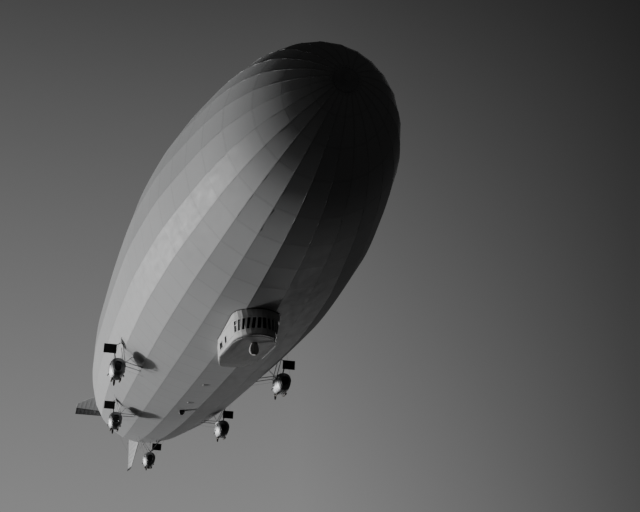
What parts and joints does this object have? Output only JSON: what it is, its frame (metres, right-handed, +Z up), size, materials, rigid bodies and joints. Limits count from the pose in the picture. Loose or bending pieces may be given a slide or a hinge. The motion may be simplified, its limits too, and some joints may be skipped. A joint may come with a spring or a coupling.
{
  "type": "rigid passenger airship, scale model 1:10",
  "caption": "Long faceted rigid hull with four tail fins, hinged rudders and elevators, a windowed car below the bow and engine cars with turning propellers.",
  "frame": {"origin": "centre of buoyancy, on the hull's axis", "axes": "+X forward to the nose, +Y to port, +Z up"},
  "size_m": [20.0658, 2.7404, 3.1682],
  "materials": {
    "doped_cloth": "aluminium-doped cotton cloth, satin",
    "car_cloth": "aluminium-doped cloth and plywood, satin",
    "aluminium": "weathered sheet",
    "engine_grey": "painted casting",
    "dark_metal": "sooted dark paint",
    "wood": "varnished laminated wood",
    "rubber": "rubberised canvas",
    "glazing": "clear sheet"
  },
  "bodies": {
    "hull": {"nose_cap": "doped_cloth", "envelope_bow": "doped_cloth", "envelope_forward": "doped_cloth", "envelope_midship": "doped_cloth", "envelope_aft": "doped_cloth", "tail_cone": "doped_cloth", "fin_top": "doped_cloth", "fin_bottom": "doped_cloth", "fin_port": "doped_cloth", "fin_starboard": "doped_cloth", "mooring_cone": "dark_metal", "car_front": "car_cloth", "car_side_port": "car_cloth", "car_side_starboard": "car_cloth", "car_floor": "car_cloth", "car_tail": "car_cloth", "car_glass_front": "glazing", "car_glass_port": "glazing", "car_glass_starboard": "glazing", "car_bumper": "rubber", "centre_bumper": "rubber", "rudder_stand": "dark_metal", "elevator_stand": "dark_metal", "engine_car_forward_port": "aluminium", "engine_forward_port": "engine_grey", "struts_forward_port": "aluminium", "condenser_forward_port": "dark_metal", "engine_car_forward_starboard": "aluminium", "engine_forward_starboard": "engine_grey", "struts_forward_starboard": "aluminium", "condenser_forward_starboard": "dark_metal", "engine_car_mid_port": "aluminium", "engine_mid_port": "engine_grey", "struts_mid_port": "aluminium", "condenser_mid_port": "dark_metal", "engine_car_mid_starboard": "aluminium", "engine_mid_starboard": "engine_grey", "struts_mid_starboard": "aluminium", "condenser_mid_starboard": "dark_metal", "engine_car_centre": "aluminium", "engine_centre": "engine_grey", "struts_centre": "aluminium", "condenser_centre": "dark_metal"},
    "rudder_top": {"rudder_top": "doped_cloth"},
    "rudder_bottom": {"rudder_bottom": "doped_cloth"},
    "elevator_port": {"elevator_port": "doped_cloth"},
    "elevator_starboard": {"elevator_starboard": "doped_cloth"},
    "car_door": {"car_door": "car_cloth"},
    "propeller_forward_port": {"propeller_forward_port": "wood"},
    "propeller_forward_starboard": {"propeller_forward_starboard": "wood"},
    "propeller_mid_port": {"propeller_mid_port": "wood"},
    "propeller_mid_starboard": {"propeller_mid_starboard": "wood"},
    "propeller_centre": {"propeller_centre": "wood"}
  },
  "joints": [
    {"name": "rudder_top_hinge", "type": "hinge", "parent": "hull", "child": "rudder_top", "pos_m": [-9.42, 0, 0.92], "axis": [0, 0, 1], "range_deg": [-20, 20]},
    {"name": "rudder_bottom_hinge", "type": "hinge", "parent": "hull", "child": "rudder_bottom", "pos_m": [-9.42, 0, -0.92], "axis": [0, 0, 1], "range_deg": [-20, 20]},
    {"name": "elevator_port_hinge", "type": "hinge", "parent": "hull", "child": "elevator_port", "pos_m": [-9.42, 0.92, 0], "axis": [0, 1, 0], "range_deg": [-10, 30]},
    {"name": "elevator_starboard_hinge", "type": "hinge", "parent": "hull", "child": "elevator_starboard", "pos_m": [-9.42, -0.92, 0], "axis": [0, 1, 0], "range_deg": [-10, 30]},
    {"name": "car_door_hinge", "type": "hinge", "parent": "hull", "child": "car_door", "pos_m": [5.7425, 0.24092, -1.382], "axis": [0, -0.156, -0.9878], "range_deg": [0, 100]},
    {"name": "propeller_forward_port_spin", "type": "hinge", "parent": "hull", "child": "propeller_forward_port", "pos_m": [1.5287, 1.17, -1.14], "axis": [1, 0, 0], "continuous": true},
    {"name": "propeller_forward_starboard_spin", "type": "hinge", "parent": "hull", "child": "propeller_forward_starboard", "pos_m": [1.5287, -1.17, -1.14], "axis": [1, 0, 0], "continuous": true},
    {"name": "propeller_mid_port_spin", "type": "hinge", "parent": "hull", "child": "propeller_mid_port", "pos_m": [-2.0413, 0.91, -1.35], "axis": [1, 0, 0], "continuous": true},
    {"name": "propeller_mid_starboard_spin", "type": "hinge", "parent": "hull", "child": "propeller_mid_starboard", "pos_m": [-2.0413, -0.91, -1.35], "axis": [1, 0, 0], "continuous": true},
    {"name": "propeller_centre_spin", "type": "hinge", "parent": "hull", "child": "propeller_centre", "pos_m": [-5.1013, 0, -1.62], "axis": [1, 0, 0], "continuous": true}
  ],
  "couplings": [
    {"joint": "rudder_bottom_hinge", "follows": "rudder_top_hinge", "ratio": 1},
    {"joint": "elevator_starboard_hinge", "follows": "elevator_port_hinge", "ratio": 1}
  ]
}
